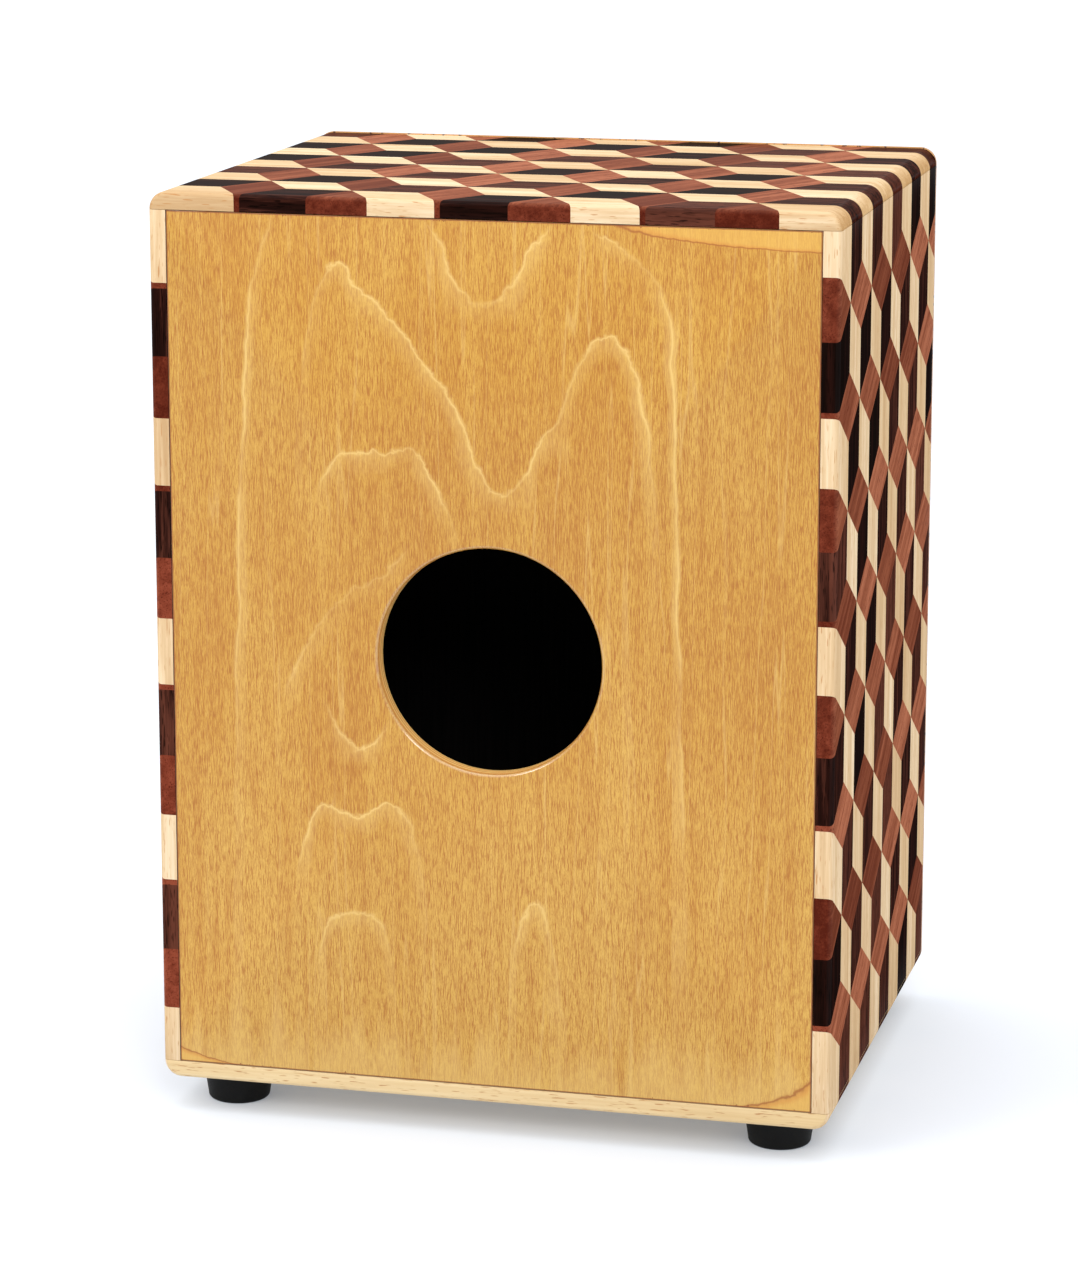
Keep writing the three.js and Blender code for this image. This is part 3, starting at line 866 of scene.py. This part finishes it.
def add_corner_stains(shader, color, x, z):
    """Brown tide lines across three corners of the veneer, where lacquer crept in and dried."""
    # (corner x, corner z, reach along x, reach along z, power: below 1 the line bows to the corner)
    stains = [
        (panel_high.x, panel_high.z, 100 * MM, 10.5 * MM, 1.7),
        (panel_high.x, panel_low.z, 41 * MM, 18 * MM, 0.67),
        (panel_low.x, panel_low.z, 33 * MM, 8 * MM, 0.8),
    ]
    waver = shader.noise(shader.position(), scale=240)
    for corner_x, corner_z, reach_x, reach_z, power in stains:
        total = shader.times(waver, 0.2)
        for place, corner, reach in ((x, corner_x, reach_x), (z, corner_z, reach_z)):
            distance = shader.calc("ABSOLUTE", shader.minus(place, corner))
            share = shader.calc("DIVIDE", distance, reach)
            total = shader.add(total, shader.calc("POWER", share, power))
        inside = shader.remap(total, 1.12, 0.95)
        halo = shader.hump(total, 1.02, 0.12)
        line = shader.hump(total, 1.1, 0.045)
        color = shader.mix(shader.times(inside, 0.6), color, VENEER_STAINED)
        color = shader.mix(shader.times(halo, 0.6), color, VENEER_TIDE_HALO)
        color = shader.mix(shader.times(line, 0.8), color, VENEER_TIDE_LINE)
    return color


def add_torn_edges_and_seam_shade(shader, color, x, z):
    """Dark tears along the veneer's top and bottom edges, and a dark brown line of painted shade in
    the seams at its sides.
    """
    tears = shader.noise(shader.position(), (330, 330, 30), detail=3, roughness=0.7)
    depth = shader.remap(tears, 0.58, 0.8, 0.65 * MM, 2.2 * MM)
    half_height = (panel_high.z - panel_low.z) / 2
    half_width = (panel_high.x - panel_low.x) / 2
    # The second entry is the painted shade along the side seams.
    edges = ((z, CENTRE_Z, half_height, depth), (x, 0.0, half_width, 0.7 * MM))
    for place, middle, half, reach in edges:
        distance = shader.minus(half, shader.calc("ABSOLUTE", shader.minus(place, middle)))
        torn_and_seam_shade = shader.calc("LESS_THAN", distance, reach)
        color = shader.mix(shader.times(torn_and_seam_shade, 0.7), color, VENEER_TEAR_AND_SEAM_SHADE)
    return color


def add_ply_layers(shader, color, depth):
    """Seven plies on the wall of the sound hole, by share of the thickness behind the face."""
    pale = srgb(255, 212, 128)
    brown = srgb(222, 152, 80)
    glue = srgb(144, 80, 36)
    stops = []
    for i in range(1, PLY_COUNT):
        start = i / PLY_COUNT
        wood = brown if i % 2 else pale
        stops.extend([(start, glue), (start + 0.012, wood), (start + 0.13, wood)])
    plies = shader.ramp(depth, stops)
    return shader.mix(shader.calc("GREATER_THAN", depth, 1 / PLY_COUNT), color, plies)


def add_rear_panel(painted_shade):
    """The panel as one skin: out over its eased edge, in over the hole's rim and through the hole."""
    low_z, high_z = panel_low.z, panel_high.z
    half_x = panel_high.x
    face_y, back_y = panel_low.y, panel_high.y
    centre_z = (low_z + high_z) / 2
    eased = PANEL_EASE * 0.3
    edge = ((0, back_y), (0, face_y + PANEL_EASE), (eased, face_y + eased), (PANEL_EASE, face_y))
    rings = []
    for inset, y in edge:
        rings.append(rectangle_ring(half_x - inset, low_z + inset, high_z - inset, HOLE_STEPS, y))
    for i in range(HOLE_RIM_STEPS + 1):
        angle = math.radians(90 * i / HOLE_RIM_STEPS)
        radius = HOLE_RADIUS + HOLE_RIM_RADIUS * (1 - math.sin(angle))
        y = face_y + HOLE_RIM_RADIUS * (1 - math.cos(angle))
        rings.append(circle_ring(radius, centre_z, HOLE_STEPS, y))
    rings.append(circle_ring(HOLE_RADIUS, centre_z, HOLE_STEPS, back_y - PANEL_EASE))
    rings.append(circle_ring(HOLE_RADIUS + PANEL_EASE, centre_z, HOLE_STEPS, back_y))
    bm = bmesh.new()
    skin_rings(bm, rings)
    bmesh.ops.recalc_face_normals(bm, faces=bm.faces)
    paint_shade_inside(bm, 1)
    finished(bm, "rear_panel_birch", [birch_veneer(), painted_shade], "rear_panel")


# ---- Bottom board, tapa and battens ----


def plain_wood(name, dark, middle, light, pore):
    """Straight-grained timber with its fibres along X."""
    shader = Shader(name, specular=0.2, coat=0.08, coat_roughness=0.2)
    place = shader.position()
    bands = shader.noise(place, (3, 70, 70), detail=3, distortion=0.5)
    fibres = shader.noise(place, (18, 750, 750), detail=3, roughness=0.6)
    pores = shader.noise(place, (130, 1400, 1400), detail=1)
    mixed = shader.add(shader.times(bands, 0.6), shader.times(fibres, 0.4))
    color = shader.ramp(mixed, [(0.3, dark), (0.5, middle), (0.72, light)])
    pore_mask = shader.remap(pores, 0.63, 0.72)
    color = shader.mix(shader.times(pore_mask, 0.75), color, pore)
    shader.set("Base Color", color)
    shader.set("Roughness", shader.remap(fibres, 0.3, 0.7, 0.37, 0.55))
    shader.bump(shader.minus(fibres, shader.times(pore_mask, 0.6)), 0.12)
    return shader.material


def add_bottom_board(woods, painted_shade):
    """The base: pale wood, with the sides' strips running on over its long edges."""
    wood = plain_wood(
        "pale_base_wood",
        dark=srgb(196, 166, 118),
        middle=srgb(208, 182, 137),
        light=srgb(218, 197, 156),
        pore=srgb(160, 108, 58),
    )
    bm = shell_board([((0, 0, FLOOR_Z - JOINT_GAP / 2), (0, 0, 1))])
    right_side_mosaic().wrap(bm)
    bm.normal_update()
    for face in bm.faces:
        if abs(face.normal.x) < WRAP_LIMIT:
            face.material_index = len(woods)
    paint_shade_inside(bm, len(woods) + 1)
    finished(bm, "bottom_board_pale", [*woods, wood, painted_shade], "bottom_board")


def tapa_veneer():
    """The playing face: the same birch, with its thin plies showing round the edge."""
    shader = Shader("tapa_veneer", roughness=0.4, specular=0.3, coat=0.2, coat_roughness=0.16)
    place = shader.position()
    x, y, z = shader.split(place)
    across = shader.remap(x, tapa_high.x, tapa_low.x, smooth=False)
    up = shader.remap(z, tapa_low.z, tapa_high.z, 0.12, 1.12, smooth=False)
    color = veneer_color(shader, across, up, place)
    depth = shader.remap(y, tapa_high.y, tapa_low.y, smooth=False)
    face = srgb(208, 156, 92)
    core = srgb(158, 94, 42)
    stops = [(0.0, face), (0.24, face), (0.3, core), (0.7, core), (0.76, face), (1.0, face)]
    plies = shader.ramp(depth, stops)
    ticks = shader.noise(place, (420, 60, 420))
    plies = shader.mix(shader.remap(ticks, 0.6, 0.68, 0.0, 0.9), plies, srgb(56, 28, 14))
    color = shader.mix(shader.remap(depth, 0.06, 0.14), color, plies)
    shader.set("Base Color", color)
    shader.bump(shader.noise(place, (1050, 1050, 110)), 0.1)
    return shader.material


def tapa_screws():
    return [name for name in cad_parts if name.startswith("tapa_screw_")]


def add_tapa(painted_shade):
    bm = envelope([(FRONT_Y, 0.0), *reversed(arris_stations(TAPA_FACE_Y, -1, TAPA_ARRIS_RADIUS))])
    holes = bmesh.new()
    for name in tapa_screws():
        low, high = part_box(name)
        head_radius = (high.x - low.x) / 2
        mouth = Vector(((low.x + high.x) / 2, TAPA_FACE_Y, (low.z + high.z) / 2))
        shank_radius = head_radius / 2
        profile = [
            (head_radius + 0.5 * MM, 1 * MM),
            (head_radius + 0.5 * MM, -0.05 * MM),
            (head_radius + 0.25 * MM, -0.3 * MM),
            (shank_radius, -2.6 * MM),
            (shank_radius, -6 * MM),
        ]
        turn(holes, profile, facing((0, 1, 0), mouth), capped=True)
    bm = carved(bm, holes)
    score(bm, Vector((0, 0, CEILING_Z + BOARD / 2)), Vector((0, 0, 1)))
    for vertex in bm.verts:
        if vertex.co.z > CEILING_Z:
            vertex.co.z += TAPA_LIP
    bm.normal_update()
    paint_shade_inside(bm, 1)
    finished(bm, "tapa_veneered", [tapa_veneer(), painted_shade], "tapa")


def add_battens(painted_shade):
    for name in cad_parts:
        if "_batten_" in name:
            # The battens sit inside the shell and take the black painted shade all over.
            bm = bevelled_box(*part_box(name), WOOD_EASE)
            finished(bm, f"{name}_eased", [painted_shade], name)


# ---- Metal parts ----


def metal(name, color, tarnish, roughness):
    shader = Shader(name, roughness=roughness, metallic=1.0)
    place = shader.position()
    blotches = shader.noise(place, scale=120, detail=3)
    scratches = shader.noise(place, (300, 2500, 2500))
    tarnished = shader.remap(blotches, 0.45, 0.7, 0.0, 0.6)
    shader.set("Base Color", shader.mix(tarnished, color, tarnish))
    shader.set("Roughness", shader.remap(scratches, 0.3, 0.7, roughness - 0.08, roughness + 0.12))
    shader.bump(scratches, 0.06, 0.1 * MM)
    return shader.material


def screw_head(radius, height, countersunk):
    """A cross-head profile from the bottom of its recess over the rim to where the shank begins."""
    reach = 0.56 * radius
    recess = [
        (cross_slot(0.03 * radius, 0.2 * radius), -0.75 * height),
        (cross_slot(0.12 * radius, 0.8 * reach), -0.3 * height),
        (cross_slot(0.15 * radius, reach), -0.02 * height),
        (cross_slot(0.17 * radius, 1.04 * reach), 0.0),
    ]
    if countersunk:
        return [*recess, (0.93 * radius, 0.0), (radius, -0.06 * height), (radius, -0.12 * height)]
    dome = []
    for share in (0.75, 0.86, 0.94, 0.985, 1.0):
        dome.append((share * radius, -height * (1 - math.sqrt(1 - share * share)) * 0.8))
    return [*recess, *dome, (radius, -height)]


def add_screw(name, direction, head_height, countersunk, material):
    low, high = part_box(name)
    centre = (low + high) / 2
    direction = Vector(direction)
    size = high - low
    length = abs(size.dot(direction))
    radius = (sum(size) - length) / 4
    shank = radius * SHANK_SHARE
    profile = [
        *screw_head(radius, head_height, countersunk),
        (shank, -head_height),
        (shank, -length + SCREW_TIP),
        (0.1 * shank, -length),
    ]
    bm = bmesh.new()
    turn(bm, profile, facing(direction, centre + direction * length / 2), capped=True)
    finished(bm, f"{name}_cross_head", [material], name)


def washer_profile(inner, outer, thickness):
    half = thickness / 2
    return [
        (inner, -half),
        (outer - WASHER_EDGE, -half),
        (outer, -half + WASHER_EDGE),
        (outer, half - WASHER_EDGE),
        (outer - WASHER_EDGE, half),
        (inner, half),
    ]


def add_washer(name, direction, inner, material, body="shell"):
    low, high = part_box(name)
    size = high - low
    thickness = abs(size.dot(Vector(direction)))
    outer = (sum(size) - thickness) / 4
    bm = bmesh.new()
    turn(bm, washer_profile(inner, outer, thickness), facing(direction, (low + high) / 2))
    finished(bm, f"{name}_turned", [material], name, body)


# ---- Feet ----


def black_rubber():
    shader = Shader("black_rubber", roughness=0.6, specular=0.15)
    place = shader.position()
    fine = shader.noise(place, scale=1800)
    broad = shader.noise(place, scale=90)
    shader.set("Base Color", shader.ramp(broad, [(0.3, srgb(5, 5, 5)), (0.7, srgb(13, 13, 13))]))
    shader.set("Roughness", shader.remap(fine, 0.3, 0.7, 0.48, 0.68))
    shader.bump(fine, 0.15, 0.1 * MM)
    return shader.material


def foot_profile(top_radius, height):
    slope = (top_radius - FOOT_BOTTOM_RADIUS) / height
    edge = FOOT_EDGE_RADIUS
    rim = []
    for i in range(FOOT_EDGE_STEPS + 1):
        angle = math.radians(90 * i / FOOT_EDGE_STEPS)
        radius = FOOT_BOTTOM_RADIUS + slope * edge - edge * (1 - math.cos(angle))
        rim.append((radius, edge - edge * math.sin(angle)))
    return [
        (FOOT_SCREW_HOLE, height),
        (top_radius - FOOT_EASE, height),
        (top_radius, height - FOOT_EASE),
        *rim,
        (FOOT_RECESS_RADIUS + FOOT_EASE, 0.0),
        (FOOT_RECESS_RADIUS, FOOT_EASE),
        (FOOT_RECESS_RADIUS, FOOT_RECESS_DEPTH),
        (FOOT_SCREW_HOLE, FOOT_RECESS_DEPTH),
    ]


def add_feet(steel):
    rubber = black_rubber()
    for side in ("rear_left", "rear_right", "front_left", "front_right"):
        low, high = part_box(f"foot_{side}")
        centre = (low + high) / 2
        bm = bmesh.new()
        profile = foot_profile((high.x - low.x) / 2, high.z)
        turn(bm, profile, Matrix.Translation((centre.x, centre.y, 0)))
        finished(bm, f"rubber_foot_{side}", [rubber], f"foot_{side}")
        add_washer(f"foot_washer_{side}", (0, 0, 1), FOOT_SCREW_HOLE, steel)
        add_screw(f"foot_screw_{side}", (0, 0, -1), FOOT_SCREW_HEAD, False, steel)


# ---- Snare bar ----


def axes_of(name):
    """(points, longest, middle and shortest axis) of a symmetrical CAD node, the longest upwards."""
    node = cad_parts[name]
    points = np.array([node.matrix_world @ vertex.co for vertex in node.data.vertices])
    directions = np.linalg.svd(points - points.mean(axis=0), full_matrices=False)[2]
    longest, middle = (Vector(direction) for direction in directions[:2])
    longest = longest if longest.z > 0 else -longest
    return points, longest, middle, longest.cross(middle)


def add_coiled_wires(name, steel):
    """Coiled wires that stand up from a soldered strip, along the node's own axes."""
    points, up, side, through = axes_of(name)
    spans = []
    for direction in (side, up, through):
        along = points @ np.array(direction)
        spans.append((along.min(), along.max()))
    (left, right), (low, high), (back, front) = spans
    radius = (front - back) / 2
    depth = through * (back + radius)
    pitch = (right - left - 2 * radius) / (SNARE_WIRES - 1)
    base = low + 0.8 * SOLDER_STRIP
    strip_low = Vector((left, low, -0.98 * radius))
    strip_high = Vector((right, low + SOLDER_STRIP, 0.98 * radius))
    bm = bevelled_box(strip_low, strip_high, SOLDER_STRIP_EASE)
    bm.transform(Matrix.Translation(depth) @ Matrix((side, up, through)).transposed().to_4x4())
    for i in range(SNARE_WIRES):
        foot = depth + side * (left + radius + pitch * i) + up * base
        add_coil(bm, foot, up, side, high - base, radius)
    finished(bm, f"{name}_coiled", [steel], name, "snare_bar")


def add_coil(bm, foot, up, side, length, radius):
    """A close-wound coil, as a rod whose surface swells and narrows once a turn."""
    across = up.cross(side)
    turns = round(length / COIL_PITCH)
    rings = []
    for i in range(turns * COIL_RINGS_PER_TURN + 1):
        height = length * i / (turns * COIL_RINGS_PER_TURN)
        ring = []
        for j in range(COIL_SIDES):
            angle = 2 * math.pi * j / COIL_SIDES
            phase = 2 * math.pi * i / COIL_RINGS_PER_TURN - angle
            reach = radius * (1 - COIL_SWELL + COIL_SWELL * math.cos(phase))
            outwards = side * math.cos(angle) + across * math.sin(angle)
            ring.append(foot + up * height + outwards * reach)
        rings.append(ring)
    skin_rings(bm, rings, capped=True)


def add_eased(name, width, material, body):
    finished(refined(name, width), f"{name}_eased", [material], name, body)


def add_snare_parts(steel):
    beech = plain_wood(
        "beech",
        dark=srgb(150, 104, 66),
        middle=srgb(168, 122, 80),
        light=srgb(184, 140, 98),
        pore=srgb(120, 74, 42),
    )
    brass = metal("brass", srgb(206, 168, 84), srgb(150, 112, 52), 0.3)
    for side in ("left", "right"):
        add_eased(f"snare_block_{side}", WOOD_EASE, beech, "shell")
        add_washer(f"snare_washer_{side}", (1, 0, 0), SNARE_PIN_HOLE, brass, "snare_bar")
        add_eased(f"snare_pin_{side}", 0.4 * MM, steel, "snare_bar")
        add_eased(f"snare_plate_{side}", 0.25 * MM, brass, "snare_bar")
        add_coiled_wires(f"snare_wires_{side}", steel)
        for i in (1, 2):
            add_eased(f"snare_plate_screw_{side}_{i}", 0.1 * MM, steel, "snare_bar")
    for name in ("snare_bar", "snare_lever"):
        add_eased(name, WOOD_EASE, beech, "snare_bar")


# ---- Floor, lights and camera ----


def add_floor():
    """A white acrylic light table, faintly lit from below."""
    shader = Shader("studio_floor", roughness=0.9)
    tint = shader.noise(shader.position(), scale=2.0)
    tints = [(0.3, srgb(202, 205, 210)), (0.7, srgb(204, 207, 212))]
    shader.set("Base Color", shader.ramp(tint, tints))
    shader.bsdf.inputs["Emission Color"].default_value = FLOOR_GLOW
    shader.bsdf.inputs["Emission Strength"].default_value = FLOOR_GLOW_STRENGTH
    bm = bmesh.new()
    bmesh.ops.create_grid(bm, x_segments=4, y_segments=4, size=40)
    floor = as_object(bm, "studio_floor")
    floor.data.materials.append(shader.material)


def add_softbox(name, place, aim, size, power):
    light = bpy.data.lights.new(name, "AREA")
    light.shape = "RECTANGLE"
    light.size, light.size_y = size
    light.energy = power
    lamp = placed(name, light)
    lamp.location = place
    lamp.rotation_euler = (Vector(aim) - Vector(place)).to_track_quat("-Z", "Y").to_euler()


def add_sky():
    """A dome that is dim and warm at the horizon and bright and cool overhead."""
    world = bpy.data.worlds.new("studio")
    world.use_nodes = True
    tree = world.node_tree
    direction = tree.nodes.new("ShaderNodeTexCoord")
    parts = tree.nodes.new("ShaderNodeSeparateXYZ")
    ramp = tree.nodes.new("ShaderNodeValToRGB")
    horizon, zenith = ramp.color_ramp.elements
    horizon.color = SKY_HORIZON
    zenith.color = SKY_ZENITH
    background = tree.nodes["Background"]
    background.inputs["Strength"].default_value = SKY_STRENGTH
    tree.links.new(direction.outputs["Generated"], parts.inputs[0])
    tree.links.new(parts.outputs["Z"], ramp.inputs[0])
    tree.links.new(ramp.outputs[0], background.inputs["Color"])
    bpy.context.scene.world = world


def add_lights():
    add_sky()
    add_softbox("overhead", (-0.3, -0.7, 2.2), (0, 0, 0.3), (1.8, 1.4), 6)
    add_softbox("front_left", (-1.6, -2.2, 1.6), (0, 0, 0.25), (0.7, 0.9), 16)
    add_softbox("front_right", (1.0, -2.6, 1.7), (0, 0, 0.25), (0.6, 0.8), 17)


def add_camera():
    data = bpy.data.cameras.new("camera")
    data.lens = CAMERA_LENS
    data.sensor_width = CAMERA_SENSOR
    data.shift_y = CAMERA_SHIFT_Y
    data.clip_end = 100
    camera = placed("camera", data)
    azimuth = math.radians(CAMERA_AZIMUTH)
    elevation = math.radians(CAMERA_ELEVATION)
    flat = math.cos(elevation)
    back = Vector((math.sin(azimuth) * flat, -math.cos(azimuth) * flat, math.sin(elevation)))
    camera.location = Vector(CAMERA_AIM) + back * CAMERA_DISTANCE
    camera.rotation_euler = (-back).to_track_quat("-Z", "Y").to_euler()
    bpy.context.scene.camera = camera


# Painted shade: the whole inside of the shell is coloured black, as it lies in shade.
inside_painted_shade = black_painted_shade()
zinc_steel = metal("zinc_steel", srgb(196, 198, 202), srgb(150, 150, 152), 0.3)
black_steel = metal("black_steel", srgb(38, 38, 41), srgb(22, 22, 24), 0.38)

block_woods = [pale_block_wood(), dark_block_wood(), brown_block_wood()]
add_mosaic_boards(block_woods, inside_painted_shade)
add_rear_panel(inside_painted_shade)
add_bottom_board(block_woods, inside_painted_shade)
add_tapa(inside_painted_shade)
add_battens(inside_painted_shade)
for screw in tapa_screws():
    add_screw(screw, (0, 1, 0), TAPA_SCREW_HEAD, True, black_steel)
add_feet(zinc_steel)
add_snare_parts(zinc_steel)
add_floor()
add_lights()
add_camera()
bpy.context.scene.view_settings.view_transform = "Standard"
